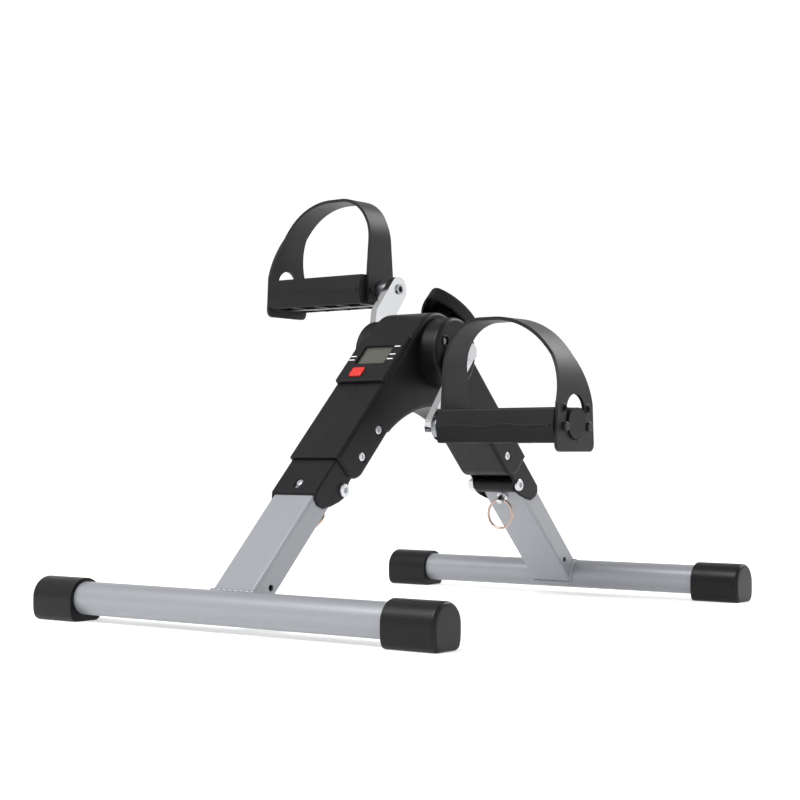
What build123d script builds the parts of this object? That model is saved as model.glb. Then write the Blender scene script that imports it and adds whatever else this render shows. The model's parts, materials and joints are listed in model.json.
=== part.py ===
from build123d import *
import os
from math import cos, hypot, radians, sin, sqrt

# Folding pedal exerciser, in millimetres. The origin is on the floor, midway between the two foot bars.
# +X runs along the foot bars, -Y is the user's side with the display, +Z is up.

# ---- driving dimensions: stand
foot_pitch = 448.6        # between the two foot bars' centres
front_span = 384.0        # front foot over its caps
rear_span = 374.0
foot_tube_d = 25.4
foot_tube_wall = 1.5
foot_drop = 6.5           # foot tube's centre below the leg's top face
arm_angle = 45.0          # slope of both arms
leg_w = 40.0
leg_d = 20.0
leg_wall = 1.5
leg_corner = 2.5
leg_end_short = 5.0       # the leg stops this far short of the foot tube's centre
drain_hole_d = 5.0
drain_hole_back = 26.0    # drain hole above the foot tube's centre

# ---- foot caps
cap_length = 44.0
cap_depth = 32.0
cap_height = 33.0
cap_end_wall = 3.0
cap_flat_w = 20.0
cap_edge_r = 3.0
cap_sole = 4.8            # rubber under the foot tube

# ---- leg hinge and lock pin
hinge_back = 131.2        # hinge axis above the foot tube's centre, along the arm
hinge_drop = 20.5         # hinge axis below the leg's top face
pivot_d = 6.0
sleeve_wall = 3.4
pin_d = 6.0
pin_below_hinge = 13.0    # along the arm
pin_head_length = 9.0
pin_flange_d = 9.6
pin_flange_t = 1.6
ring_r = 12.5
ring_play = 0.7           # round the wire in the pin's cross hole
ring_wire_d = 2.2
fold_slot = 3.0           # lets the pin's tip leave the web as the leg folds

# ---- clearances
fit_clear = 0.05          # running fits, radial
pin_clear = 0.10
part_gap = 0.40           # between pieces that move past each other
seat_gap = 0.10           # between fixed pieces laid side by side

# ---- brackets (bent steel channel)
bracket_t = 1.5
bracket_top_back = 87.5   # channel's upper end above the hinge
bracket_web_end = 23.5    # web's lower end below the hinge
bracket_lobe_d = 6.0      # ears reach this far below the hinge
bracket_corner_r = 1.8
bracket_bend_r = 1.8
bracket_depth = 22.5      # side walls inside the housing

# ---- housing
wall = 2.1
side_wall = 2.4
crank_below_apex = 41.4924
housing_end_up = 10.5     # housing's lower end above the hinge
housing_lobe_r = 14.0
housing_belly = 27.4      # underside of the arm below the leg's top face
arch_below_apex = 84.9924 # crown of the arch between the arms, below the point where their top faces meet
arch_half = 62.9
arch_foot_drop = 19.5
housing_edge_r = 3.0
waist_step = 6.4          # recess on each flank beside the hub
waist_end = 38.5          # waist runs this far down the rear arm from the crank
seam_gap = 0.10

# ---- hub
boss_r = 28.5
boss_stand = 1.6          # hub stands this far off the housing's side
boss_depth = 16.0
cover_wall = 2.2
cover_edge_r = 3.5
hub_screw_r = 18.2
hub_screw_angle = 152.0
axle_d = 14.0
bush_od = 21.0
bush_len = 15.0
bush_inner = 16.0
drum_r = 20.0
drum_w = 16.0

# ---- cranks
crank_radius = 79.0
crank_angle = 50.0        # right crank below the horizontal
crank_t = 6.0
crank_hub_r = 12.5
crank_tip_r = 11.0
crank_off_boss = 5.5      # hub's face to the crank's middle plane
crank_splay = 10.0
crank_bend_in = 20.0
crank_bend_out = 44.0
crank_bolt_d = 8.0
crank_bolt_af = 13.0
crank_bolt_head = 5.3

# ---- pedals
pedal_off_crank = 19.5    # crank's middle plane at its tip to the pedal's inner end
pedal_length = 104.0
pedal_w = 50.0
pedal_nose = 3.0
pedal_h = 26.0
pedal_wall = 2.6
pedal_axle_d = 12.0
pedal_bush_od = 16.4
pedal_bush_len = 12.0
end_boss_w = 25.0
end_boss_t = 4.4
end_boss_low = 10.6       # boss reaches this far below the pedal's centre
strap_t = 2.6
strap_rise = 82.0         # top of the strap above the pedal's centre
strap_drop = 19.5
strap_plate_w = 53.0
strap_top_w = 27.0
strap_inner_w = 35.0
strap_hole_w = 26.0
strap_hole_top = 23.1     # above the pedal's centre
peg_spread = 32.7
peg_d = 5.0
peg_head_d = 7.0
peg_row = 12.8

# ---- display
pod_top = 17.5            # from the crank down the front arm to the pod's upper edge
pod_length = 53.0
pod_rise = 3.2
pod_wall = 1.8
lcd_w = 29.0
lcd_h = 21.0
lcd_down = 12.2           # from the pod's upper edge down to the window
button_w = 12.0
button_h = 9.5
button_off = -6.0
button_down = 43.3
button_proud = 1.3
button_travel = 1.0

# ---- tension knob and brake
knob_down = 5.6           # knob's axis below the crank, along the rear arm
knob_r = 27.0
knob_corner_r = 7.0
knob_h = 13.0
knob_skirt = 2.2
knob_lift = 16.0          # knob's open rim above the housing
screw_d = 8.0
screw_pitch = 1.25
knob_turn = 270.0
shoe_gap = 1.5
shoe_w = 12.0
shoe_l = 20.0

# ---- housing fasteners
side_screw_d = 4.0
side_screw_head_d = 7.0
side_screw_up = (32.2, 61.5)   # above the hinge, along the arm
side_screw_drop = 17.0
counterbore_d = 9.0
counterbore_depth = 2.0

# ---- frames worked out from the dimensions above
slope = radians(arm_angle)
DOWN = Vector(0, -cos(slope), -sin(slope))
DEPTH = Vector(0, sin(slope), -cos(slope))
cap_under = foot_tube_d / 2 + cap_sole
foot_z = cap_under
foot_s = (foot_pitch / 2 + foot_drop * sin(slope)) / cos(slope)
apex_z = foot_z + foot_s * sin(slope) + foot_drop * cos(slope)
crank_z = apex_z - crank_below_apex
arch_rise = apex_z - arch_below_apex
crank_s = (apex_z - crank_z) * sin(slope)
crank_v = (apex_z - crank_z) * cos(slope)
hinge_s = foot_s - hinge_back
pin_s = hinge_s + pin_below_hinge
web_in = -part_gap
web_out = web_in - bracket_t
bracket_in = leg_w / 2 + part_gap
bracket_out = bracket_in + bracket_t
shell_top_in = web_out - seat_gap
shell_top = shell_top_in - wall
shell_side_in = bracket_out + seat_gap
shell_side = shell_side_in + side_wall
hub_r = crank_v - shell_top
waist_half_w = shell_side - waist_step
boss_root = shell_side + boss_stand
boss_face = boss_root + boss_depth
crank_hub_x = boss_face + crank_off_boss
crank_tip_x = crank_hub_x + crank_splay
pedal_in = crank_tip_x + pedal_off_crank
housing_end = hinge_s - housing_end_up
pod_s = crank_s + pod_top
pod_face = shell_top - pod_rise
knob_s = crank_s + knob_down
pedal_out = pedal_in + pedal_length
pedal_y = -crank_radius * cos(radians(crank_angle))
pedal_dz = -crank_radius * sin(radians(crank_angle))

ARM = Plane(origin=(0, 0, apex_z), x_dir=DOWN, z_dir=(1, 0, 0))
FACE = Plane(origin=(0, 0, apex_z), x_dir=(1, 0, 0), z_dir=DEPTH)
SIDE = Plane(origin=(0, 0, crank_z), x_dir=(0, 1, 0), z_dir=(1, 0, 0))
CRANK_DIR = Vector(0, -cos(radians(crank_angle)), -sin(radians(crank_angle)))
CRANK = Plane(origin=(0, 0, crank_z), x_dir=CRANK_DIR, z_dir=(1, 0, 0))


def both(face, half):
    """A solid from a face, as far each side of it."""
    return extrude(face, amount=half, both=True)


def arm_face(points):
    return ARM * make_face(Polyline(*points, close=True))


def arm_at(s, v, x=0.0):
    """A world point from distances down the arm and below the leg's top face."""
    return Vector(x, 0, apex_z) + DOWN * s + DEPTH * v


def rod(radius, start, end):
    """A round bar between two points."""
    along = end - start
    circle = Plane(origin=start, z_dir=along) * Circle(radius)
    return extrude(circle, amount=along.length)


def cross_rod(radius, s, v, x0, x1):
    """A round bar along X at a place on the arm."""
    return rod(radius, arm_at(s, v, x0), arm_at(s, v, x1))


def hex_bar(across_flats, start, end):
    along = end - start
    hexagon = Plane(origin=start, z_dir=along) * RegularPolygon(across_flats / 2, 6, major_radius=False)
    return extrude(hexagon, amount=along.length)


def flip_y(part):
    return mirror(part, about=Plane.XZ)


def flip_x(part):
    return mirror(part, about=Plane.YZ)


def grouped(parts):
    return Compound(children=[solid for part in parts for solid in part.solids()])


def arm_box(x0, x1, s0, s1, v0, v1):
    """A block in the arm's own directions."""
    face = arm_face([(s0, v0), (s1, v0), (s1, v1), (s0, v1)])
    return extrude(face, amount=x1 - x0).translate((x0, 0, 0))


# ---------------------------------------------------------------- legs and feet
def leg_tube():
    length = foot_s - leg_end_short - hinge_s
    section = Plane(origin=arm_at(hinge_s, leg_d / 2), x_dir=(1, 0, 0), z_dir=DOWN)
    outer = extrude(section * RectangleRounded(leg_w, leg_d, leg_corner), amount=length)
    bore = RectangleRounded(leg_w - 2 * leg_wall, leg_d - 2 * leg_wall, leg_corner - leg_wall)
    tube = outer - extrude(section * bore, amount=length)
    tube -= cross_rod(foot_tube_d / 2, foot_s, foot_drop, -leg_w, leg_w)
    tube -= cross_rod(pivot_d / 2 + fit_clear + sleeve_wall, hinge_s, hinge_drop, -leg_w, leg_w)
    pin_hole = rod(pin_d / 2 + pin_clear, arm_at(pin_s, -leg_d), arm_at(pin_s, 2 * leg_d))
    drain = cross_rod(drain_hole_d / 2, foot_s - drain_hole_back, leg_d * 0.62, 0, leg_w)
    return tube - pin_hole - drain


def hinge_sleeve():
    radius = pivot_d / 2 + fit_clear + sleeve_wall
    sleeve = cross_rod(radius, hinge_s, hinge_drop, -leg_w / 2, leg_w / 2)
    return sleeve - cross_rod(pivot_d / 2 + fit_clear, hinge_s, hinge_drop, -leg_w, leg_w)


def foot_tube(span):
    half = span / 2 - cap_end_wall
    tube = rod(foot_tube_d / 2, Vector(-half, -foot_pitch / 2, foot_z), Vector(half, -foot_pitch / 2, foot_z))
    inner = foot_tube_d / 2 - foot_tube_wall
    return tube - rod(inner, Vector(-half, -foot_pitch / 2, foot_z), Vector(half, -foot_pitch / 2, foot_z))


def foot_cap(span):
    """Right-hand rubber cap: a flat sole, straight flanks and a round top."""
    half_w = cap_depth / 2
    crown = cap_height - half_w
    flat = cap_flat_w / 2
    with BuildSketch(Plane(origin=(span / 2, -foot_pitch / 2, 0), x_dir=(0, 1, 0), z_dir=(1, 0, 0))) as outline:
        with BuildLine():
            Line((-flat, 0), (flat, 0))
            Spline((flat, 0), (half_w, crown * 0.72), tangents=[(1, 0.12), (0, 1)])
            Line((half_w, crown * 0.72), (half_w, crown))
            CenterArc((0, crown), half_w, 0, 180)
            Line((-half_w, crown), (-half_w, crown * 0.72))
            Spline((-half_w, crown * 0.72), (-flat, 0), tangents=[(0, -1), (1, -0.12)])
        make_face()
    cap = extrude(outline.sketch, amount=-cap_length)
    end_edges = cap.faces().sort_by(Axis.X)[-1].edges()
    cap = fillet(end_edges, cap_edge_r)
    start = Vector(span / 2 - cap_length - 1, -foot_pitch / 2, foot_z)
    end = Vector(span / 2 - cap_end_wall, -foot_pitch / 2, foot_z)
    return cap - rod(foot_tube_d / 2, start, end)


def lock_pin():
    tip = arm_at(pin_s, web_out + 0.3)
    shoulder = arm_at(pin_s, leg_d + part_gap)
    head_end = shoulder + DEPTH * pin_head_length
    pin = rod(pin_d / 2, tip, head_end)
    pin = fillet(pin.edges().filter_by(GeomType.CIRCLE), 0.8)
    pin += rod(pin_flange_d / 2, shoulder, shoulder + DEPTH * pin_flange_t)
    hole = ring_hole()
    return pin - rod(ring_wire_d / 2 + ring_play, hole + Vector(-pin_d, 0, 0), hole + Vector(pin_d, 0, 0))


def ring_hole():
    return arm_at(pin_s, leg_d + part_gap + pin_head_length - 3.2)


def pin_ring(way):
    """Ring of wire in the hole of the pin's head, lying off in one direction."""
    return Plane(origin=ring_hole() + way * ring_r, x_dir=(1, 0, 0), z_dir=Vector(1, 0, 0).cross(way)) * Torus(ring_r, ring_wire_d / 2)


# ---------------------------------------------------------------- brackets
def bracket():
    """Steel channel: web over the leg, two side walls that carry the hinge bolt."""
    top = hinge_s - bracket_top_back
    low = hinge_s + bracket_web_end
    lobe = hinge_drop + bracket_lobe_d
    points = [(top, web_out), (low, web_out), (low + 4.5, 2.0), (low + 5.0, 8.0), (low + 2.0, 14.5), (low - 5.0, 19.5),
              (hinge_s + 9.0, lobe - 2.0), (hinge_s + 3.0, lobe), (hinge_s - 4.0, lobe - 0.5),
              (hinge_s - 9.0, bracket_depth), (top, bracket_depth)]
    outline = ARM * make_face(FilletPolyline(*points, radius=bracket_corner_r, close=True))
    block = both(outline, bracket_out)
    block = fillet([edge for edge in block.edges().filter_by(GeomType.LINE)
                    if abs((edge @ 0 - edge @ 1).normalized().dot(DOWN)) > 0.999
                    and abs((edge.center() - arm_at(0, web_out)).dot(DEPTH)) < 0.01], bracket_bend_r)
    hollow = both(arm_face([(top - 1, web_in), (low + 9, web_in), (low + 9, 60), (top - 1, 60)]), bracket_in)
    channel = block - hollow
    channel -= cross_rod(pivot_d / 2 + fit_clear, hinge_s, hinge_drop, -leg_w, leg_w)
    slot_r = pin_d / 2 + part_gap
    slot = FACE.offset(web_out - 2) * Pos(0, pin_s + fold_slot / 2) * SlotOverall(fold_slot + 2 * slot_r, 2 * slot_r, rotation=90)
    channel -= extrude(slot, amount=bracket_t + 3)
    for up in side_screw_up:
        channel -= cross_rod(side_screw_d / 2 + 0.8, hinge_s - up, side_screw_drop, -leg_w, leg_w)
    return channel


def pivot_bolt():
    """Hex bolt from the right, through the bracket and the leg's sleeve, with its nut on the left."""
    head = cross_rod(5.2, hinge_s, hinge_drop, bracket_out, bracket_out + 2.6)
    head = fillet(head.edges().sort_by(Axis.X)[-1], 1.2)
    shank = cross_rod(pivot_d / 2, hinge_s, hinge_drop, -bracket_out - 6.0, bracket_out)
    x = bracket_out + 2.6
    socket = hex_bar(4.0, arm_at(hinge_s, hinge_drop, x - 1.8), arm_at(hinge_s, hinge_drop, x + 1))
    return head + shank - socket


def pivot_nut():
    start = arm_at(hinge_s, hinge_drop, -bracket_out - 5.2)
    nut = hex_bar(10.0, start, arm_at(hinge_s, hinge_drop, -bracket_out))
    nut = nut & cross_rod(5.7, hinge_s, hinge_drop, -bracket_out - 5.2, -bracket_out)
    return nut - cross_rod(pivot_d / 2 + 0.02, hinge_s, hinge_drop, -leg_w, 0)


# ---------------------------------------------------------------- housing
def arm_outline(inset, open_end):
    """Side view of one arm with the hub, taken in by the wall; open at the leg's end when it is the cavity."""
    top = shell_top + inset
    belly = housing_belly - inset
    end = housing_end - (0 if open_end else inset)
    lobe = housing_lobe_r - inset
    tail = end + 20 if open_end else end
    points = [(crank_s, crank_v), (crank_s, top), (tail, top)]
    if open_end:
        points += [(tail, belly - 1.0), (end - lobe, belly - 1.0), (end - lobe, belly)]
        body = arm_face(points + [(crank_s + 86.0, belly), (crank_s, crank_v + 30)])
        return body
    body = arm_face(points + [(end, belly), (crank_s + 86.0, belly), (crank_s, crank_v + 30)])
    corner = [v for v in body.vertices() if (v.center() - arm_at(end, belly)).length < 0.01]
    return fillet(corner, lobe)


def housing_outline(inset, open_end=False):
    """Side view of the whole inverted V with its rounded top and the arch between the arms."""
    front = arm_outline(inset, open_end)
    crown = arch_rise + inset
    arch_foot_z = arch_rise - arch_foot_drop
    radius = (arch_half ** 2 + arch_foot_drop ** 2) / (2 * arch_foot_drop)
    web = make_face(Plane.YZ * Polyline((-arch_half - 6, arch_foot_z - 2), (0, crank_z), (arch_half + 6, arch_foot_z - 2), close=True))
    hub = SIDE * Circle(hub_r - inset)
    whole = front + flip_y(front) + hub + web
    arch = Plane(origin=(0, 0, crown - radius), x_dir=(0, 1, 0), z_dir=(1, 0, 0)) * Circle(radius)
    return whole - arch


def waist_outline(grow):
    """Side view of the recess on each flank, between the hub's disc and the rear arm."""
    start = crank_s - grow
    end = crank_s + waist_end + grow
    strip = flip_y(arm_face([(start, -20), (end, -20), (end, 70), (start, 70)]))
    keep = Plane(origin=(0, 0, 0), x_dir=(0, 1, 0), z_dir=(1, 0, 0)) * Pos(200 + 4 - grow, 200) * Rectangle(400, 400)
    disc = SIDE * Circle(hub_r - 1.5 - grow)
    return (strip & keep) - disc


def screw_places():
    """Side screws of both arms as places on the arm, the rear ones to be flipped."""
    return [(hinge_s - up, side_screw_drop) for up in side_screw_up]


def housing():
    outline = housing_outline(0)
    cavity = housing_outline(wall, open_end=True)
    notch = waist_outline(0)
    notch_in = waist_outline(side_wall)
    body = both(outline, shell_side)
    rim = body.edges().filter_by(lambda e: abs(abs(e.center().X) - shell_side) < 0.01)
    body = fillet(rim, housing_edge_r)
    body -= both(notch, shell_side + 1) - both(notch, waist_half_w)
    room = both(cavity, shell_side_in)
    room -= both(notch_in, shell_side_in + 1) - both(notch_in, waist_half_w - side_wall)
    shell = body - room
    for side in (-1, 1):
        root = rod(boss_r - 1.0, Vector(side * shell_side_in, 0, crank_z), Vector(side * boss_root, 0, crank_z))
        seat = rod(bush_od / 2 + 3, Vector(side * bush_inner, 0, crank_z), Vector(side * boss_root, 0, crank_z))
        shell += root + seat
        shell -= rod(bush_od / 2 + 0.02, Vector(side * (bush_inner - 1), 0, crank_z), Vector(side * 40, 0, crank_z))
    for s, v in screw_places():
        post = cross_rod(side_screw_d / 2 + 2.4, s, v, -bracket_in + 0.6, bracket_in - 0.6)
        bore = cross_rod(side_screw_d / 2 + 0.1, s, v, -bracket_in + 3, shell_side + 1)
        sink = cross_rod(counterbore_d / 2, s, v, shell_side - counterbore_depth + 0.6, shell_side + 2)
        for flip in (False, True):
            neck = cross_rod(side_screw_d / 2 + 0.75, s, v, -shell_side_in - 0.5, shell_side_in + 0.5)
            parts = [flip_y(p) if flip else p for p in (post + neck, bore, sink)]
            shell = shell + parts[0] - parts[1] - parts[2]
    window = arm_box(-lcd_w / 2 - 4, lcd_w / 2 + 4, pod_s + 3, pod_s + pod_length - 4, shell_top - 1, shell_top_in + 1)
    shell -= window
    neck_hole = flip_y(rod(screw_d / 2 + 3.0, arm_at(knob_s, shell_top - 10), arm_at(knob_s, shell_top + 9)))
    shell -= neck_hole
    for angle in hub_screw_angles():
        place = Vector(0, hub_screw_r * cos(angle), crank_z + hub_screw_r * sin(angle))
        shell -= rod(1.3, place + Vector(-60, 0, 0), place + Vector(60, 0, 0)) & (both(SIDE * Circle(60), 60) - both(SIDE * Circle(60), bush_inner))
    return shell


def hub_screw_angles():
    return [radians(hub_screw_angle + turn) for turn in (0, 120, 240)]


def half_shell(shell, side):
    """One side of the housing, cut at the middle with a fine seam."""
    keep = Pos(side * (150 + seam_gap / 2), 0, 150) * Box(300, 500, 400)
    return shell & keep


def hub_cover():
    """Cup over the right-hand bearing."""
    start = Vector(boss_root + seat_gap, 0, crank_z)
    cover = rod(boss_r, start, Vector(boss_face, 0, crank_z))
    cover = fillet(cover.edges().sort_by(Axis.X)[-1], cover_edge_r)
    cover -= rod(boss_r - cover_wall, start + Vector(-1, 0, 0), Vector(boss_face - cover_wall, 0, crank_z))
    cover -= rod(axle_d / 2 + part_gap + 1.0, start, Vector(boss_face + 5, 0, crank_z))
    for angle in hub_screw_angles():
        place = Vector(0, hub_screw_r * cos(angle), crank_z + hub_screw_r * sin(angle))
        cover += rod(4.6, place + Vector(boss_root + seat_gap, 0, 0), place + Vector(boss_face + 1.0, 0, 0))
        cover -= rod(3.4, place + Vector(boss_face - 2.4, 0, 0), place + Vector(boss_face + 9, 0, 0))
        cover -= rod(1.7, place, place + Vector(boss_face + 9, 0, 0))
    return cover


def pan_screw(start, direction, shank_d, length, head_d, head_h):
    """Pan-head screw whose head seats at start and whose shank runs along direction."""
    head = rod(head_d / 2, start - direction * head_h, start)
    head = fillet(head.edges().sort_by(lambda e: (e.center() - start).dot(direction))[0], head_h * 0.45)
    body = head + rod(shank_d / 2, start, start + direction * length)
    side = Vector(0, 0, 1) if abs(direction.Z) < 0.9 else Vector(1, 0, 0)
    top = start - direction * head_h
    for turn in (0, 90):
        cross = Plane(origin=top, x_dir=side, z_dir=direction) * Rot(0, 0, turn) * Rectangle(head_d * 0.52, head_d * 0.13)
        body -= extrude(cross, amount=head_h * 0.6)
    return body


def housing_screws():
    seat_x = shell_side - counterbore_depth + 0.6
    screws = []
    for s, v in screw_places():
        screw = pan_screw(arm_at(s, v, seat_x), Vector(-1, 0, 0), side_screw_d, seat_x + bracket_in - 4, side_screw_head_d, 1.6)
        screws += [screw, flip_y(screw)]
    return grouped(screws)


def hub_cover_screws():
    screws = []
    for angle in hub_screw_angles():
        place = Vector(boss_face - 2.4, hub_screw_r * cos(angle), crank_z + hub_screw_r * sin(angle))
        screw = pan_screw(place, Vector(-1, 0, 0), 2.6, boss_face - 2.4 - bush_inner - 4, 5.8, 2.0)
        screws += [screw, flip_x(screw)]
    return grouped(screws)


# ---------------------------------------------------------------- display
def pod_corner(width, length, face_v, depth, corner):
    """A block on the front arm's top, rounded in plan, centred on the pod."""
    plan = FACE.offset(face_v) * Pos(0, pod_s + pod_length / 2) * RectangleRounded(width, length, corner)
    return extrude(plan, amount=depth)


def display_bezel():
    pod = pod_corner(2 * shell_side - 0.4, pod_length, pod_face, pod_rise, 2.5)
    rim = pod.faces().sort_by(lambda f: (f.center() - arm_at(pod_s, 0)).dot(DEPTH))[0].edges()
    pod = fillet(rim, 1.2)
    pod -= pod_corner(2 * shell_side - 0.4 - 2 * pod_wall, pod_length - 2 * pod_wall, pod_face + pod_wall, 20, 1.5)
    window = FACE.offset(pod_face - 1) * Pos(0, lcd_mid()) * RectangleRounded(lcd_w, lcd_h, 1.0)
    pod -= extrude(window, amount=6)
    hole = FACE.offset(pod_face - 1) * Pos(button_off, pod_s + button_down) * RectangleRounded(
        button_w + 2 * part_gap, button_h + 2 * part_gap, 2.0)
    return pod - extrude(hole, amount=6)


def lcd_mid():
    return pod_s + lcd_down + lcd_h / 2


def lcd_panel():
    glass = FACE.offset(pod_face + pod_wall + 0.05) * Pos(0, lcd_mid()) * Rectangle(lcd_w + 3, lcd_h + 3)
    return extrude(glass, amount=1.6)


def reset_button():
    plan = FACE.offset(pod_face - button_proud) * Pos(button_off, pod_s + button_down) * RectangleRounded(button_w, button_h, 1.6)
    cap = extrude(plan, amount=button_proud + pod_wall + 0.4)
    cap = fillet(cap.faces().sort_by(lambda f: (f.center() - arm_at(pod_s, 0)).dot(DEPTH))[0].edges(), 0.6)
    stem = rod(1.6, arm_at(pod_s + button_down, pod_face + pod_wall, button_off),
               arm_at(pod_s + button_down, pod_face + pod_wall + 1.6, button_off))
    return cap + stem


def board_v():
    return shell_top_in + 2.6


def display_board():
    plan = FACE.offset(board_v()) * Pos(0, pod_s + pod_length / 2) * Rectangle(lcd_w + 2, pod_length - 10)
    return extrude(plan, amount=1.2)


def button_switch():
    gap = button_travel + part_gap
    face = pod_face + pod_wall + 1.6 + gap
    plan = FACE.offset(face) * Pos(button_off, pod_s + button_down) * Rectangle(5, 5)
    return extrude(plan, amount=board_v() - face)


def battery():
    start = arm_at(pod_s + 4, board_v() + 1.2 + 5.6, 0)
    cell = rod(5.25, start, start + DOWN * 43.5)
    return cell + rod(1.9, start + DOWN * 43.5, start + DOWN * 44.5)


def speed_sensor():
    """Reed switch held beside the drum, over the magnet's path."""
    return Pos(drum_w / 2 + 5.2, 0, crank_z - drum_r + 3.5) * Box(4.0, 14.0, 3.0)


# ---------------------------------------------------------------- crank set
def crank_axle():
    half = crank_hub_x + crank_t / 2
    axle = rod(axle_d / 2, Vector(-half, 0, crank_z), Vector(half, 0, crank_z))
    for side in (-1, 1):
        axle -= rod(crank_bolt_d / 2, Vector(side * (half - 16), 0, crank_z), Vector(side * (half + 1), 0, crank_z))
    return axle


def axle_bush():
    start = Vector(bush_inner, 0, crank_z)
    bush = rod(bush_od / 2, start, start + Vector(bush_len, 0, 0))
    return bush - rod(axle_d / 2 + fit_clear, start + Vector(-1, 0, 0), start + Vector(bush_len + 1, 0, 0))


def brake_drum():
    drum = rod(drum_r, Vector(-drum_w / 2, 0, crank_z), Vector(drum_w / 2, 0, crank_z))
    drum = chamfer(drum.edges().filter_by(GeomType.CIRCLE), 0.8)
    drum -= rod(axle_d / 2, Vector(-drum_w, 0, crank_z), Vector(drum_w, 0, crank_z))
    for side in (-1, 1):
        groove = Plane(origin=(side * drum_w / 2, 0, crank_z), x_dir=(0, 1, 0), z_dir=(1, 0, 0)) * (Circle(drum_r - 4) - Circle(axle_d / 2 + 3))
        drum -= extrude(groove, amount=4, both=True)
    return drum


def trigger_magnet():
    return rod(1.9, Vector(drum_w / 2, 0, crank_z - drum_r + 2.0), Vector(drum_w / 2 + 1.8, 0, crank_z - drum_r + 2.0))


def right_crank():
    """Bent flat bar: straight at the hub, splayed outwards, straight at the pedal."""
    mid = [(-30, crank_hub_x), (crank_bend_in, crank_hub_x), (crank_bend_out, crank_tip_x), (crank_radius + 30, crank_tip_x)]
    half = crank_t / 2
    bent = [(r, x - half) for r, x in mid] + [(r, x + half) for r, x in reversed(mid)]
    across = CRANK.y_dir
    side = Plane(origin=(0, 0, crank_z), x_dir=CRANK_DIR, z_dir=-across)
    sheet = both(side * make_face(Polyline(*bent, close=True)), 30)
    plan = CRANK * make_hull((Circle(crank_hub_r) + Pos(crank_radius, 0) * Circle(crank_tip_r)).edges())
    arm = sheet & extrude(plan, amount=100)
    arm -= rod(axle_d / 2 + 0.02, Vector(30, 0, crank_z), Vector(70, 0, crank_z))
    tip = Vector(0, pedal_y, crank_z + pedal_dz)
    return arm - rod(pedal_axle_d / 2 - 1.5, tip + Vector(30, 0, 0), tip + Vector(90, 0, 0))


def crank_spacer():
    start = Vector(boss_face + part_gap, 0, crank_z)
    end = Vector(crank_hub_x - crank_t / 2, 0, crank_z)
    return rod(crank_hub_r - 1.5, start, end) - rod(axle_d / 2 + 0.02, start - Vector(5, 0, 0), end + Vector(5, 0, 0))


def crank_bolt():
    face = Vector(crank_hub_x + crank_t / 2 + 1.2, 0, crank_z)
    head = hex_bar(crank_bolt_af, face, face + Vector(crank_bolt_head, 0, 0))
    head = head & rod(crank_bolt_af * 0.56, face, face + Vector(crank_bolt_head, 0, 0))
    washer = rod(crank_hub_r - 2.5, face - Vector(1.2, 0, 0), face)
    return head + washer + rod(crank_bolt_d / 2 - 0.05, face - Vector(15, 0, 0), face)


def pedal_axle():
    """Axle riveted in the crank's eye, with a collar and a turned-down end for the retaining washer."""
    tip = Vector(0, pedal_y, crank_z + pedal_dz)
    inner = crank_tip_x - crank_t / 2 - 1.5
    axle = rod(pedal_axle_d / 2 - 1.52, tip + Vector(inner, 0, 0), tip + Vector(crank_tip_x + crank_t / 2, 0, 0))
    axle += rod(pedal_axle_d / 2 + 2.0, tip + Vector(crank_tip_x + crank_t / 2, 0, 0), tip + Vector(pedal_in - part_gap - 2.6, 0, 0))
    axle += rod(pedal_axle_d / 2, tip + Vector(crank_tip_x + crank_t / 2, 0, 0), tip + Vector(pedal_out - 14.0, 0, 0))
    return axle - rod(2.7, tip + Vector(inner - 1, 0, 0), tip + Vector(inner + 6, 0, 0))


# ---------------------------------------------------------------- pedals
PEDAL = Plane(origin=(0, pedal_y, crank_z + pedal_dz), x_dir=(0, 1, 0), z_dir=(1, 0, 0))


def pedal_prism(sketch, x0, x1):
    return extrude(PEDAL.offset(x0) * sketch, amount=x1 - x0)


def pedal_body():
    half_w = pedal_w / 2
    half_h = pedal_h / 2
    tip = half_w + pedal_nose
    section = make_face(Polyline((-half_w, half_h), (half_w, half_h), (tip, 0), (half_w, -half_h), (-half_w, -half_h),
                                 (-tip, 0), close=True))
    body = pedal_prism(section, pedal_in, pedal_out)
    body = fillet(body.edges().filter_by(Axis.X), 2.0)
    tread = Rectangle(pedal_w / 2 - 6, pedal_h)
    bay = (pedal_length - 5 * pedal_wall) / 4
    for row in range(4):
        start = pedal_in + pedal_wall + row * (bay + pedal_wall)
        for side in (-1, 1):
            pocket = Pos(side * (pedal_w / 4 + 2.5), -pedal_wall) * tread
            body -= pedal_prism(pocket, start, start + bay)
    boss = Pos(0, (half_h - end_boss_low) / 2) * RectangleRounded(end_boss_w, half_h + end_boss_low, end_boss_w / 2 - 1.2)
    body += pedal_prism(boss, pedal_out, pedal_out + end_boss_t)
    seat = Circle(pedal_bush_od / 2 + 0.02)
    body -= pedal_prism(Circle(pedal_axle_d / 2 + 1.2), pedal_in - 1, pedal_out - 12.0)
    body -= pedal_prism(seat, pedal_in - 1, pedal_in + pedal_bush_len)
    return body - pedal_prism(seat, pedal_out - 14.0 - 2 * pedal_bush_len, pedal_out - 14.0 - pedal_bush_len)


def pedal_bushes():
    ring = Circle(pedal_bush_od / 2) - Circle(pedal_axle_d / 2 + fit_clear)
    inner = pedal_prism(ring, pedal_in, pedal_in + pedal_bush_len)
    start = pedal_out - 14.0 - 2 * pedal_bush_len
    return grouped([inner, pedal_prism(ring, start, start + pedal_bush_len)])


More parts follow.
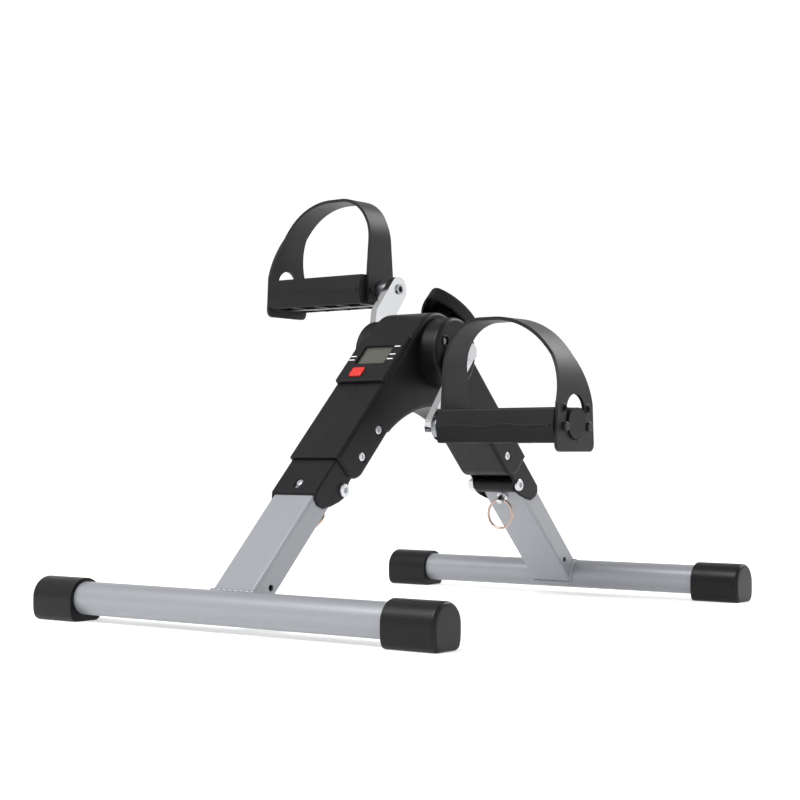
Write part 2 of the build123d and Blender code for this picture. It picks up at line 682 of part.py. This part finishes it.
def offset_points(points, distance):
    """The corners of an open run of straight lines, moved square to them by a distance, to the right."""
    sides = []
    for start, end in zip(points, points[1:]):
        length = hypot(end[0] - start[0], end[1] - start[1])
        sides.append(((end[1] - start[1]) / length, -(end[0] - start[0]) / length))
    moved = []
    for index, point in enumerate(points):
        before = sides[max(index - 1, 0)]
        after = sides[min(index, len(sides) - 1)]
        share = distance / (1 + before[0] * after[0] + before[1] * after[1])
        moved.append((point[0] + (before[0] + after[0]) * share, point[1] + (before[1] + after[1]) * share))
    return moved


def strap_band():
    """The strap seen along Y: from the outer plate over the foot to the inner end, as runs and arcs."""
    outer = pedal_out + seat_gap
    inner = pedal_in - seat_gap
    top = strap_rise - strap_t
    shoulder = 0.5 * top
    points = [(outer, -strap_drop), (outer, shoulder), (outer - 0.32 * pedal_length, top),
              (inner + 0.13 * pedal_length, top), (inner, 0.68 * top), (inner, -10.5)]
    radii = [0.57 * pedal_length, 0.57 * pedal_length, 0.28 * pedal_length, 0.38 * pedal_length]
    inside = FilletPolyline(*points, radius=radii)
    outside_points = offset_points(points, strap_t)
    outside = FilletPolyline(*outside_points, radius=[radius + strap_t for radius in radii])
    ends = [Line(points[0], outside_points[0]), Line(points[-1], outside_points[-1])]
    return make_face(Curve() + [inside, outside] + ends)


def pedal_strap():
    centre = Vector(0, pedal_y, crank_z + pedal_dz)
    sheet = extrude(Plane.XZ * strap_band(), amount=strap_plate_w / 2 + 2, both=True)
    sheet = sheet.translate(centre)
    top = strap_rise + 10
    half = strap_plate_w / 2
    outer_view = make_face(Polyline((-half, -strap_drop - 2), (half, -strap_drop - 2), (half - 2, 16), (strap_top_w / 2, 52),
                                    (strap_top_w / 2, top), (-strap_top_w / 2, top), (-strap_top_w / 2, 52), (-half + 2, 16), close=True))
    inner_half = strap_inner_w / 2
    inner_view = make_face(Polyline((-inner_half, -14), (inner_half, -14), (inner_half, 14), (strap_top_w / 2, 58), (strap_top_w / 2, top),
                                    (-strap_top_w / 2, top), (-strap_top_w / 2, 58), (-inner_half, 14), close=True))
    middle = (pedal_in + pedal_out) / 2
    trim = pedal_prism(outer_view, middle, pedal_out + 20) + pedal_prism(inner_view, pedal_in - 20, middle)
    strap = sheet & trim
    low = -end_boss_low - 0.6
    hole = Pos(0, (strap_hole_top + low) / 2) * RectangleRounded(strap_hole_w, strap_hole_top - low, strap_hole_w / 2 - 0.3)
    strap -= pedal_prism(hole, pedal_out - 2, pedal_out + 9)
    for side in (-1, 1):
        for row in (0, 1):
            slot = Pos(side * peg_spread / 2, -1.0 + row * peg_row) * Circle(peg_d / 2 + 0.1)
            strap -= pedal_prism(slot, pedal_out - 2, pedal_out + 9)
        inner_slot = Pos(side * (strap_inner_w / 2 - 4.6), 0) * Circle(1.9)
        strap -= pedal_prism(inner_slot, pedal_in - 9, pedal_in + 2)
    strap -= pedal_prism(Circle(pedal_axle_d / 2 + 2.6), pedal_in - 9, pedal_in + 2)
    corners = [e for e in strap.edges() if abs(e.center().Z - (centre.Z - strap_drop)) < 0.1 and e.length < strap_t + 0.2
               and e.center().X > middle]
    return fillet(corners, 6.0) if corners else strap


def strap_pegs():
    pegs = []
    face = pedal_out
    for side in (-1, 1):
        place = Pos(side * peg_spread / 2, -1.0)
        stem = pedal_prism(place * Circle(peg_d / 2), face, face + strap_t + 2.2)
        head = pedal_prism(place * Circle(peg_head_d / 2), face + strap_t + 0.5, face + strap_t + 3.4)
        pegs.append(stem + fillet(head.edges().sort_by(Axis.X)[-1], 1.2))
        place = Pos(side * (strap_inner_w / 2 - 4.6), 0)
        stem = pedal_prism(place * Circle(1.8), pedal_in - strap_t - 1.2, pedal_in)
        head = pedal_prism(place * Circle(3.0), pedal_in - strap_t - 1.7, pedal_in - strap_t - 0.4)
        pegs.append(stem + head)
    return grouped(pegs)


# ---------------------------------------------------------------- tension knob and brake shoe
REAR_UP = Vector(0, sin(slope), cos(slope))


def knob_plane(height):
    """Plane square to the rear arm, at a height above its top face, turned so that local X points up the arm."""
    foot = Vector(0, 0, apex_z) + Vector(0, cos(slope), -sin(slope)) * knob_s
    return Plane(origin=foot + REAR_UP * (height - shell_top), x_dir=Vector(0, -cos(slope), sin(slope)), z_dir=REAR_UP)


def trilobe(radius, corner):
    """Three-cornered knob outline with bulged sides."""
    arcs = [Rot(0, 0, turn) * Pos(-radius, 0) * Circle(radius * sqrt(3)) for turn in (60, 180, 300)]
    form = arcs[0] & arcs[1] & arcs[2]
    return fillet(form.vertices(), corner)


def tension_knob():
    rim = knob_lift
    plane = knob_plane(rim)
    outer = extrude(plane * trilobe(knob_r, knob_corner_r), amount=knob_h)
    top = outer.faces().sort_by(lambda f: f.center().dot(REAR_UP))[-1]
    outer = fillet(top.edges(), 2.6)
    inner = extrude(plane * trilobe(knob_r - knob_skirt, knob_corner_r - knob_skirt), amount=knob_h - knob_skirt)
    knob = outer - inner
    hub = extrude(plane * Circle(screw_d / 2 + 3.5), amount=knob_h - knob_skirt)
    knob += hub
    for turn in (60, 180, 300):
        rib = plane * Rot(0, 0, turn) * Pos(8.0, 0) * Rectangle(10.5, 1.6)
        knob += extrude(rib, amount=knob_h - knob_skirt).translate(REAR_UP * 2) & extrude(plane * Circle(13.0), amount=knob_h)
    bore = extrude(plane * Circle(screw_d / 2), amount=knob_h - 4)
    return knob - bore


def shoe_low():
    """Depth of the brake shoe's lining along the screw's axis, measured above the drum."""
    return sqrt(drum_r ** 2 - knob_down ** 2)


def tension_screw():
    top = knob_lift + knob_h - 4
    bottom = -(crank_v - shell_top) + shoe_low() + 7.0
    plane = knob_plane(bottom)
    screw = extrude(plane * Circle(screw_d / 2 - 0.02), amount=top - bottom)
    collar = knob_plane(1.2)
    screw += extrude(collar * Circle(screw_d / 2 + 4.0), amount=2.4)
    for turn in range(4):
        groove = knob_plane(5.6 + turn * screw_pitch * 2)
        screw -= extrude(groove * (Circle(screw_d) - Circle(screw_d / 2 - 0.5)), amount=screw_pitch)
    return screw


def screw_collar():
    """Flanged collar pressed in the housing, which guides the screw."""
    collar = extrude(knob_plane(-6.0) * Circle(screw_d / 2 + 2.9), amount=6.8)
    collar += extrude(knob_plane(0.02) * Circle(screw_d / 2 + 6.0), amount=0.78)
    return collar - extrude(knob_plane(-9.0) * Circle(screw_d / 2 + fit_clear), amount=20)


def brake_shoe():
    """Carrier on the screw's thread; it can't turn, so it slides towards the drum."""
    base = -(crank_v - shell_top)
    low = base + shoe_low() + shoe_gap - 4.0
    block = extrude(knob_plane(low) * Rectangle(shoe_l, shoe_w), amount=-6.2 - part_gap - low - 1.0)
    around = rod(drum_r + shoe_gap + 2.0, Vector(-30, 0, crank_z), Vector(30, 0, crank_z))
    block -= around
    bore = extrude(knob_plane(base + shoe_low() + 5.0) * Circle(screw_d / 2 + fit_clear), amount=40)
    return block - bore


def brake_lining():
    low = -(crank_v - shell_top) + shoe_low() + shoe_gap - 6.0
    block = extrude(knob_plane(low) * Rectangle(shoe_l - 1, shoe_w - 1), amount=12)
    outer = rod(drum_r + shoe_gap + 2.0, Vector(-30, 0, crank_z), Vector(30, 0, crank_z))
    inner = rod(drum_r + shoe_gap, Vector(-40, 0, crank_z), Vector(40, 0, crank_z))
    lining = block & (outer - inner)
    keep = [solid for solid in lining.solids() if solid.center().dot(REAR_UP) > Vector(0, 0, crank_z).dot(REAR_UP)]
    return keep[0]


# ---------------------------------------------------------------- the whole object
def about_crank(part):
    """The opposite side's copy: turned half a turn about the crank axis and flipped across X."""
    return flip_x(part.rotate(Axis((0, 0, crank_z), (1, 0, 0)), 180))


def other_pedal(part):
    return flip_x(part).translate((0, -2 * pedal_y, -2 * pedal_dz))


def nodes():
    shell = housing()
    pieces = {
        "right_shell": half_shell(shell, 1),
        "left_shell": half_shell(shell, -1),
        "right_hub_cover": hub_cover(),
        "left_hub_cover": flip_x(hub_cover()),
        "hub_cover_screws": hub_cover_screws(),
        "housing_screws": housing_screws(),
        "display_bezel": display_bezel(),
        "lcd_panel": lcd_panel(),
        "display_board": display_board(),
        "button_switch": button_switch(),
        "battery": battery(),
        "speed_sensor": speed_sensor(),
        "screw_collar": screw_collar(),
        "axle_bushes": grouped([axle_bush(), flip_x(axle_bush())]),
        "reset_button": reset_button(),
        "crank_axle": crank_axle(),
        "brake_drum": brake_drum(),
        "trigger_magnet": trigger_magnet(),
        "right_crank": right_crank(),
        "left_crank": about_crank(right_crank()),
        "crank_spacers": grouped([crank_spacer(), flip_x(crank_spacer())]),
        "crank_bolts": grouped([crank_bolt(), flip_x(crank_bolt())]),
        "right_pedal_axle": pedal_axle(),
        "left_pedal_axle": about_crank(pedal_axle()),
        "tension_knob": tension_knob(),
        "tension_screw": tension_screw(),
        "brake_shoe": brake_shoe(),
        "brake_lining": brake_lining(),
    }
    for name, part in (("body", pedal_body()), ("bushes", pedal_bushes()), ("strap", pedal_strap()), ("pegs", strap_pegs())):
        pieces[f"right_pedal_{name}"] = part
        pieces[f"left_pedal_{name}"] = other_pedal(part)
    for end, span, turn in (("front", front_span, False), ("rear", rear_span, True)):
        parts = {
            "bracket": bracket(),
            "pivot_bolt": pivot_bolt(),
            "pivot_nut": pivot_nut(),
            "leg_tube": leg_tube(),
            "hinge_sleeve": hinge_sleeve(),
            "foot_tube": foot_tube(span),
            "foot_caps": grouped([foot_cap(span), flip_x(foot_cap(span))]),
            "lock_pin": lock_pin(),
            "pin_ring": pin_ring(Vector(0, 0, -1) if turn else DOWN),
        }
        for name, part in parts.items():
            pieces[f"{end}_{name}"] = flip_y(part) if turn else part
    return pieces


def main():
    os.makedirs("parts", exist_ok=True)
    for name, part in nodes().items():
        export_step(part, os.path.join("parts", f"{name}.step"))
        print(name, len(part.solids()), round(part.volume, 1))


main()
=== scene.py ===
import json
import math

import bpy
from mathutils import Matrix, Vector


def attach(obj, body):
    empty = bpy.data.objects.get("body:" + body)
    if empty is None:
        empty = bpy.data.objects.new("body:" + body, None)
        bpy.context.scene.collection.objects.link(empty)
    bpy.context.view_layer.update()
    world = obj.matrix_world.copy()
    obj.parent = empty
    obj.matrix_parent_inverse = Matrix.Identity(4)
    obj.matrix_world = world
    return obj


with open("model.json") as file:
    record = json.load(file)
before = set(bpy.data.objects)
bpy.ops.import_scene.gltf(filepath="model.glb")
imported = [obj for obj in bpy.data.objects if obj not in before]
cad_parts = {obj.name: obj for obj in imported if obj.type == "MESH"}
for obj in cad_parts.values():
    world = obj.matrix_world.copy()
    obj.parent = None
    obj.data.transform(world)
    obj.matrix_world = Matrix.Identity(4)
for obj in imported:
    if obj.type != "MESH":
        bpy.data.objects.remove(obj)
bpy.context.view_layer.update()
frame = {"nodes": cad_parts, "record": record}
print("frame loaded")

mm = 0.001
slant = math.sqrt(0.5)  # both arms slope at 45 degrees
stand = {"apexZ": 250.992, "legHalf": 20.0, "footS": 323.71, "footDrop": 6.5, "footRadius": 12.7}
crank = {"z": 209.5, "radius": 79.0, "angle": math.radians(50), "pedalIn": 77.0, "pedalOut": 181.0}


def onArm(s, v, x=0.0, rear=False):
    # a point s down the arm, v below the leg's top face and x across, from millimetres to metres
    y = (v - s) * slant
    return Vector((x, -y if rear else y, stand["apexZ"] - (s + v) * slant)) * mm


def pedalPoint(side, x, y, z):
    # a point measured from a pedal's own axis; side is 1 for the right pedal and -1 for the left
    reach = crank["radius"] * math.cos(crank["angle"])
    rise = crank["radius"] * math.sin(crank["angle"])
    return Vector((side * x, y - side * reach, crank["z"] - side * rise + z)) * mm


def srgb(code):
    channels = [int(code[i:i + 2], 16) / 255 for i in (1, 3, 5)]
    return [c / 12.92 if c <= 0.04045 else ((c + 0.055) / 1.055) ** 2.4 for c in channels] + [1.0]


def addNode(material, kind, settings=None, links=None):
    # one node, with its settings by socket or property name and its incoming links
    tree = material.node_tree
    node = tree.nodes.new(kind)
    for name, value in (settings or {}).items():
        if name in node.inputs:
            node.inputs[name].default_value = value
        else:
            setattr(node, name, value)
    for name, source in (links or {}).items():
        tree.links.new(source, node.inputs[name])
    return node


def newMaterial(name, finish):
    # a Principled surface with its fixed values set on the shader's own sockets
    material = bpy.data.materials.new(name)
    material.use_nodes = True
    shader = material.node_tree.nodes["Principled BSDF"]
    for socket, value in finish.items():
        shader.inputs[socket].default_value = value
    return material, shader


def link(material, source, target):
    material.node_tree.links.new(source, target)


def grainBump(material, shader, grainMm, height, detail=3.0):
    # a fine all-over grain from object coordinates; scale is one over the grain's size in metres
    place = addNode(material, "ShaderNodeTexCoord")
    grain = addNode(material, "ShaderNodeTexNoise",
                    {"Scale": 1000 / grainMm, "Detail": detail, "Roughness": 0.6},
                    {"Vector": place.outputs["Object"]})
    bump = addNode(material, "ShaderNodeBump", {"Strength": 0.35, "Distance": height * mm},
                   {"Height": grain.outputs["Fac"]})
    link(material, bump.outputs["Normal"], shader.inputs["Normal"])
    return place, grain, bump


def mottle(material, shader, place, sizeMm, dark, light, rough):
    # slow change of tone and gloss, as handling and moulding leave
    cloud = addNode(material, "ShaderNodeTexNoise",
                    {"Scale": 1000 / sizeMm, "Detail": 4.0, "Roughness": 0.55},
                    {"Vector": place.outputs["Object"]})
    tone = addNode(material, "ShaderNodeMix", {"data_type": "RGBA"}, {"Factor": cloud.outputs["Fac"]})
    tone.inputs[6].default_value = srgb(dark)
    tone.inputs[7].default_value = srgb(light)
    link(material, tone.outputs[2], shader.inputs["Base Color"])
    gloss = addNode(material, "ShaderNodeMapRange", {"To Min": rough[0], "To Max": rough[1]},
                    {"Value": cloud.outputs["Fac"]})
    link(material, gloss.outputs["Result"], shader.inputs["Roughness"])
    return cloud


absShell = {"dark": "#0C0C0E", "light": "#131316", "grain": 0.55, "height": 0.02, "cloud": 35,
            "rough": (0.34, 0.44), "edge": 0.9}


def mouldedAbs(name, look):
    # spark-eroded ABS: an even fine grain that softens the highlights
    material, shader = newMaterial(name, {"IOR": 1.53, "Specular IOR Level": 0.16})
    place, grain, bump = grainBump(material, shader, look["grain"], look["height"])
    edge = addNode(material, "ShaderNodeBevel", {"Radius": look["edge"] * mm, "samples": 6})
    link(material, edge.outputs["Normal"], bump.inputs["Normal"])
    mottle(material, shader, place, look["cloud"], look["dark"], look["light"], look["rough"])
    return material


softPvc = {"dark": "#121214", "light": "#19191C", "grain": 0.9, "height": 0.02, "cloud": 22,
           "rough": (0.4, 0.52)}


def mouldedPvc(name, look):
    # flexible PVC: waxier than ABS, with faint flow marks along it
    material, shader = newMaterial(name, {"IOR": 1.52, "Specular IOR Level": 0.2,
                                          "Sheen Weight": 0.02, "Sheen Roughness": 0.5})
    place = grainBump(material, shader, look["grain"], look["height"], 2.0)[0]
    mottle(material, shader, place, look["cloud"], look["dark"], look["light"], look["rough"])
    return material


capSkin = {**softPvc, "dark": "#08080A", "light": "#0E0E10", "grain": 0.7, "rough": (0.3, 0.42)}
silverCoat = {"dark": "#85878C", "light": "#909297", "flake": 0.45, "peel": 1.6, "depth": 0.03,
              "rough": (0.34, 0.46)}


def powderCoat(name, look):
    # silver-grey powder coat: slight orange peel, with a little metal flake in it
    material, shader = newMaterial(name, {"Metallic": 0.25, "Coat Weight": 0.25, "Coat Roughness": 0.25})
    place = addNode(material, "ShaderNodeTexCoord")
    peel = addNode(material, "ShaderNodeTexNoise", {"Scale": 1000 / look["peel"], "Detail": 1.5},
                   {"Vector": place.outputs["Object"]})
    flake = addNode(material, "ShaderNodeTexVoronoi", {"Scale": 1000 / look["flake"]},
                    {"Vector": place.outputs["Object"]})
    tone = addNode(material, "ShaderNodeMix", {"data_type": "RGBA"}, {"Factor": flake.outputs["Distance"]})
    tone.inputs[6].default_value = srgb(look["light"])
    tone.inputs[7].default_value = srgb(look["dark"])
    link(material, tone.outputs[2], shader.inputs["Base Color"])
    gloss = addNode(material, "ShaderNodeMapRange", {"To Min": look["rough"][0], "To Max": look["rough"][1]},
                    {"Value": peel.outputs["Fac"]})
    link(material, gloss.outputs["Result"], shader.inputs["Roughness"])
    bump = addNode(material, "ShaderNodeBump", {"Strength": 0.25, "Distance": look["depth"] * mm},
                   {"Height": peel.outputs["Fac"]})
    link(material, bump.outputs["Normal"], shader.inputs["Normal"])
    return material


def platedMetal(name, colour, rough, grainMm):
    # plated or polished steel; the grain is fine polishing lines
    material, shader = newMaterial(name, {"Metallic": 1.0, "Base Color": srgb(colour)})
    place = addNode(material, "ShaderNodeTexCoord")
    lines = addNode(material, "ShaderNodeTexNoise", {"Scale": 1000 / grainMm, "Detail": 5.0},
                    {"Vector": place.outputs["Object"]})
    gloss = addNode(material, "ShaderNodeMapRange", {"To Min": rough[0], "To Max": rough[1]},
                    {"Value": lines.outputs["Fac"]})
    link(material, gloss.outputs["Result"], shader.inputs["Roughness"])
    bump = addNode(material, "ShaderNodeBump", {"Strength": 0.12, "Distance": 0.02 * mm},
                   {"Height": lines.outputs["Fac"]})
    link(material, bump.outputs["Normal"], shader.inputs["Normal"])
    return material


def glossButton(name):
    # polished red ABS
    material, shader = newMaterial(name, {"Roughness": 0.24, "Coat Weight": 0.3, "Coat Roughness": 0.1})
    place = grainBump(material, shader, 1.2, 0.01)[0]
    mottle(material, shader, place, 6, "#B5150F", "#D3211A", (0.22, 0.3))
    return material


def lcdGlass(name):
    # reflective LCD: olive-grey cell under a clear polariser, with its dot rows just felt
    material, shader = newMaterial(name, {"IOR": 1.5, "Coat Weight": 0.6, "Coat Roughness": 0.05})
    place = addNode(material, "ShaderNodeTexCoord")
    rows = addNode(material, "ShaderNodeTexWave", {"Scale": 1000 / 1.4 / 6.28, "bands_direction": "X"},
                   {"Vector": place.outputs["Object"]})
    tone = addNode(material, "ShaderNodeMix", {"data_type": "RGBA"}, {"Factor": rows.outputs["Fac"]})
    tone.inputs[6].default_value = srgb("#45463C")
    tone.inputs[7].default_value = srgb("#3F4037")
    link(material, tone.outputs[2], shader.inputs["Base Color"])
    shader.inputs["Roughness"].default_value = 0.3
    return material


def plainMoulding(name, dark, light, rough):
    material, shader = newMaterial(name, {"IOR": 1.5, "Specular IOR Level": 0.35})
    place = grainBump(material, shader, 0.6, 0.02)[0]
    mottle(material, shader, place, 8, dark, light, rough)
    return material


materials = {
    "housing_plastic": mouldedAbs("mouldedAbsHousing", absShell),
    "knob_plastic": mouldedAbs("mouldedAbsKnob", {**absShell, "dark": "#0B0B0C", "light": "#111113"}),
    "pedal_plastic": mouldedAbs("mouldedPolypropylenePedal", absShell),
    "black_nylon": plainMoulding("mouldedNylon", "#0A0A0C", "#111113", (0.28, 0.38)),
    "strap_rubber": mouldedPvc("flexiblePvcStrap", softPvc),
    "cap_rubber": mouldedPvc("mouldedPvcCap", capSkin),
    "grey_paint": powderCoat("silverPowderCoat", silverCoat),
    "black_paint": mouldedAbs("blackPowderCoat", {**absShell, "light": "#141417", "grain": 1.1,
                                                  "rough": (0.3, 0.4)}),
    "chrome": platedMetal("chromePlate", "#D9DADC", (0.07, 0.14), 3.0),
    "plated_steel": platedMetal("zincPlate", "#C9CBCE", (0.18, 0.32), 0.8),
    "plain_steel": platedMetal("turnedSteel", "#A9ABAE", (0.25, 0.38), 0.6),
    "copper_wire": platedMetal("nickelPlatedWire", "#B9A398", (0.18, 0.28), 1.0),
    "red_plastic": glossButton("polishedRedAbs"),
    "lcd_glass": lcdGlass("lcdCell"),
    "circuit_board": plainMoulding("solderMask", "#0E4A1E", "#145C28", (0.3, 0.4)),
    "battery_jacket": plainMoulding("printedFilm", "#26264F", "#303066", (0.25, 0.3)),
    "felt": plainMoulding("pressedWoolFelt", "#8B877C", "#A29D90", (0.85, 0.95)),
}
for entry in frame["record"]["subparts"]:
    node = frame["nodes"][entry["node"]]
    for slot in node.material_slots:
        slot.material = materials[entry["material_slot"]]
print("materials assigned")


def onlyThis(piece):
    # an operator acts on all that is selected, so one piece is selected alone
    bpy.ops.object.select_all(action="DESELECT")
    piece.select_set(True)
    bpy.context.view_layer.objects.active = piece


def settle(piece, name, material, smooth=35):
    # the piece's place goes into its mesh, and its corners sharper than smooth stay crisp
    onlyThis(piece)
    bpy.ops.object.transform_apply(location=True, rotation=True, scale=True)
    bpy.ops.object.shade_smooth_by_angle(angle=math.radians(smooth))
    piece.name = piece.data.name = name
    piece.data.materials.clear()
    piece.data.materials.append(material)
    return piece


bead = {"radius": 1.5, "ripple": 0.16, "wave": 5, "points": 150, "sink": 0.985, "above": 0.2}


def beadAlong(path, radius, name, material, closed=True, ripple=0.0, wave=1):
    # a round bead of metal or plastic that follows a line of points
    bpy.ops.object.select_all(action="DESELECT")
    bpy.ops.curve.primitive_bezier_curve_add()
    line = bpy.context.object
    line.data.splines.clear()
    run = line.data.splines.new("POLY")
    run.points.add(len(path) - 1)
    run.use_cyclic_u = closed
    for i, place in enumerate(path):
        run.points[i].co = (*place, 1)
        run.points[i].radius = 1 + ripple * math.sin(i * math.tau / wave)
    line.data.bevel_depth = radius * mm
    line.data.bevel_resolution = 3
    line.data.use_fill_caps = True
    onlyThis(line)
    bpy.ops.object.convert(target="MESH")
    return settle(bpy.context.object, name, material, 60)


def weldPath(rear):
    # round the leg's end where it meets the foot tube: over the top face, down both sides and under
    half, drop, tube = stand["legHalf"], stand["footDrop"], stand["footRadius"]
    steps = bead["points"] // 4
    low = drop + tube * bead["sink"]
    high = bead["above"]

    def meet(v):
        return stand["footS"] - math.sqrt(max(tube ** 2 - (v - drop) ** 2, 0.0))

    top = [onArm(meet(high), high, -half + 2 * half * i / steps, rear) for i in range(steps)]
    right = [onArm(meet(low * i / steps), low * i / steps, half, rear) for i in range(steps)]
    under = [onArm(meet(low), low, half - 2 * half * i / steps, rear) for i in range(steps)]
    left = [onArm(meet(low - low * i / steps), low - low * i / steps, -half, rear) for i in range(steps)]
    return top + right + under + left


for end, rear in (("front", False), ("rear", True)):
    weld = beadAlong(weldPath(rear), bead["radius"], end + "LegWeld", materials["grey_paint"], True,
                     bead["ripple"], bead["wave"])
    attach(weld, end + "_leg")
print("welds done")


marks = {"slope": math.radians(45), "length": 5.6, "width": 1.0, "height": 0.3, "face": -7.3,
         "places": [(18.2, 60.7), (18.2, 70.0), (18.2, 75.3), (-20.0, 71.2), (-20.0, 75.3)]}


def displayMarks(look):
    # short printed dashes beside the window
    pieces = []
    for x, s in look["places"]:
        bpy.ops.object.select_all(action="DESELECT")
        bpy.ops.mesh.primitive_cube_add(size=mm, location=onArm(s, look["face"], x),
                                        rotation=(look["slope"], 0, 0))
        dash = bpy.context.object
        dash.scale = (look["length"], look["width"], look["height"])
        onlyThis(dash)
        bpy.ops.object.transform_apply(location=True, rotation=True, scale=True)
        pieces.append(dash)
    bpy.ops.object.select_all(action="DESELECT")
    for dash in pieces:
        dash.select_set(True)
    bpy.context.view_layer.objects.active = pieces[0]
    bpy.ops.object.join()
    ink = newMaterial("padPrintedInk", {"Base Color": srgb("#E4E4E2"), "Roughness": 0.5})[0]
    done = settle(bpy.context.object, "displayMarks", ink)
    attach(done, "frame")


displayMarks(marks)


rims = {"spread": 32.7, "row": 11.8, "lowRow": -1.0, "radius": 3.5, "thick": 0.7, "face": 183.6}
ridge = {"out": 27.7, "radius": 1.0, "start": 79.5, "end": 178.5, "points": 80, "wave": 0.9}


def strapRims(side, body):
    # raised rims round the strap's adjusting holes
    rows = (rims["lowRow"], rims["row"])
    for i, (y, z) in enumerate([(way * rims["spread"] / 2, row) for way in (-1, 1) for row in rows]):
        bpy.ops.object.select_all(action="DESELECT")
        bpy.ops.mesh.primitive_torus_add(major_radius=rims["radius"] * mm, minor_radius=rims["thick"] * mm,
                                         major_segments=40, minor_segments=10, rotation=(0, math.pi / 2, 0),
                                         location=pedalPoint(side, rims["face"], y, z))
        rim = settle(bpy.context.object, f"{body}HoleRim{i + 1}", materials["strap_rubber"], 80)
        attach(rim, body)


def pedalRidge(side, body):
    # a fine moulded line along each long side of the pedal, with a shallow wave in its middle
    for flank in (-1, 1):
        path = []
        for i in range(ridge["points"] + 1):
            share = i / ridge["points"]
            x = ridge["start"] + (ridge["end"] - ridge["start"]) * share
            lift = ridge["wave"] * math.sin(share * math.tau * 2) * math.sin(share * math.pi) ** 2
            path.append(pedalPoint(side, x, flank * ridge["out"], lift))
        name = f"{body}Ridge{'Near' if flank < 0 else 'Far'}"
        line = beadAlong(path, ridge["radius"], name, materials["pedal_plastic"], False)
        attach(line, body)


for side, body in ((1, "right_pedal"), (-1, "left_pedal")):
    strapRims(side, body)
    pedalRidge(side, body)
print("pedal details done")


stageSize = {"floor": 2.6, "cove": 3.4, "steps": 20, "sides": 96}


def buildStage(size):
    # a round floor that turns up into a wall, so that no horizon shows from any side
    bpy.ops.object.select_all(action="DESELECT")
    bpy.ops.mesh.primitive_circle_add(vertices=size["sides"], radius=size["floor"], fill_type="TRIFAN")
    floor = bpy.context.object
    bpy.ops.object.mode_set(mode="EDIT")
    bpy.ops.mesh.select_mode(type="EDGE")
    bpy.ops.mesh.select_all(action="SELECT")
    bpy.ops.mesh.region_to_loop()
    reach, rise = size["floor"], 0.0
    for step in range(1, size["steps"] + 1):
        turn = math.pi / 2 * step / size["steps"]
        wider = size["floor"] + size["cove"] * math.sin(turn)
        higher = size["cove"] * (1 - math.cos(turn))
        bpy.ops.mesh.extrude_region_move(TRANSFORM_OT_translate={"value": (0, 0, higher - rise)})
        bpy.ops.transform.resize(value=(wider / reach, wider / reach, 1), center_override=(0, 0, 0))
        reach, rise = wider, higher
    bpy.ops.mesh.select_all(action="SELECT")
    bpy.ops.mesh.normals_make_consistent(inside=True)
    bpy.ops.object.mode_set(mode="OBJECT")
    # matt paper, faintly lit from behind so that it stays an even white
    paper = newMaterial("matteBackdropPaper", {"Base Color": srgb("#F7F7F7"), "Roughness": 0.95,
                                               "Specular IOR Level": 0.05, "Emission Color": srgb("#FFFFFF"),
                                               "Emission Strength": 0.28})[0]
    settle(floor, "studioFloor", paper)


lampAim = Vector((0, 0, 0.15))
lamps = [
    {"name": "keyPanel", "at": (-0.7, -1.5, 2.0), "size": 1.1, "watts": 52},
    {"name": "fillPanel", "at": (2.0, -0.5, 1.3), "size": 0.9, "watts": 3},
    {"name": "backPanel", "at": (0.6, 1.9, 1.7), "size": 1.0, "watts": 30},
]


def buildLights():
    for lamp in lamps:
        data = bpy.data.lights.new(lamp["name"], "AREA")
        data.energy = lamp["watts"]
        data.size = lamp["size"]
        panel = bpy.data.objects.new(lamp["name"], data)
        panel.location = lamp["at"]
        panel.rotation_euler = (lampAim - Vector(lamp["at"])).to_track_quat("-Z", "Y").to_euler()
        bpy.context.collection.objects.link(panel)
    world = bpy.data.worlds.new("studioWhite")
    world.use_nodes = True
    world.node_tree.nodes["Background"].inputs["Color"].default_value = srgb("#FFFFFF")
    world.node_tree.nodes["Background"].inputs["Strength"].default_value = 0.55
    bpy.context.scene.world = world
    bpy.context.scene.view_settings.view_transform = "Standard"


cameraAt = {"place": (0.8292, -1.1274, 0.1304), "turn": (91.7, 0.0, 36.84), "lens": 76.62}


def buildCamera(setup):
    data = bpy.data.cameras.new("studioCamera")
    data.lens = setup["lens"]
    data.sensor_width = 36
    camera = bpy.data.objects.new("studioCamera", data)
    camera.location = setup["place"]
    camera.rotation_euler = [math.radians(angle) for angle in setup["turn"]]
    bpy.context.collection.objects.link(camera)
    bpy.context.scene.camera = camera


buildStage(stageSize)
buildLights()
buildCamera(cameraAt)
print("stage, lights and camera in place")
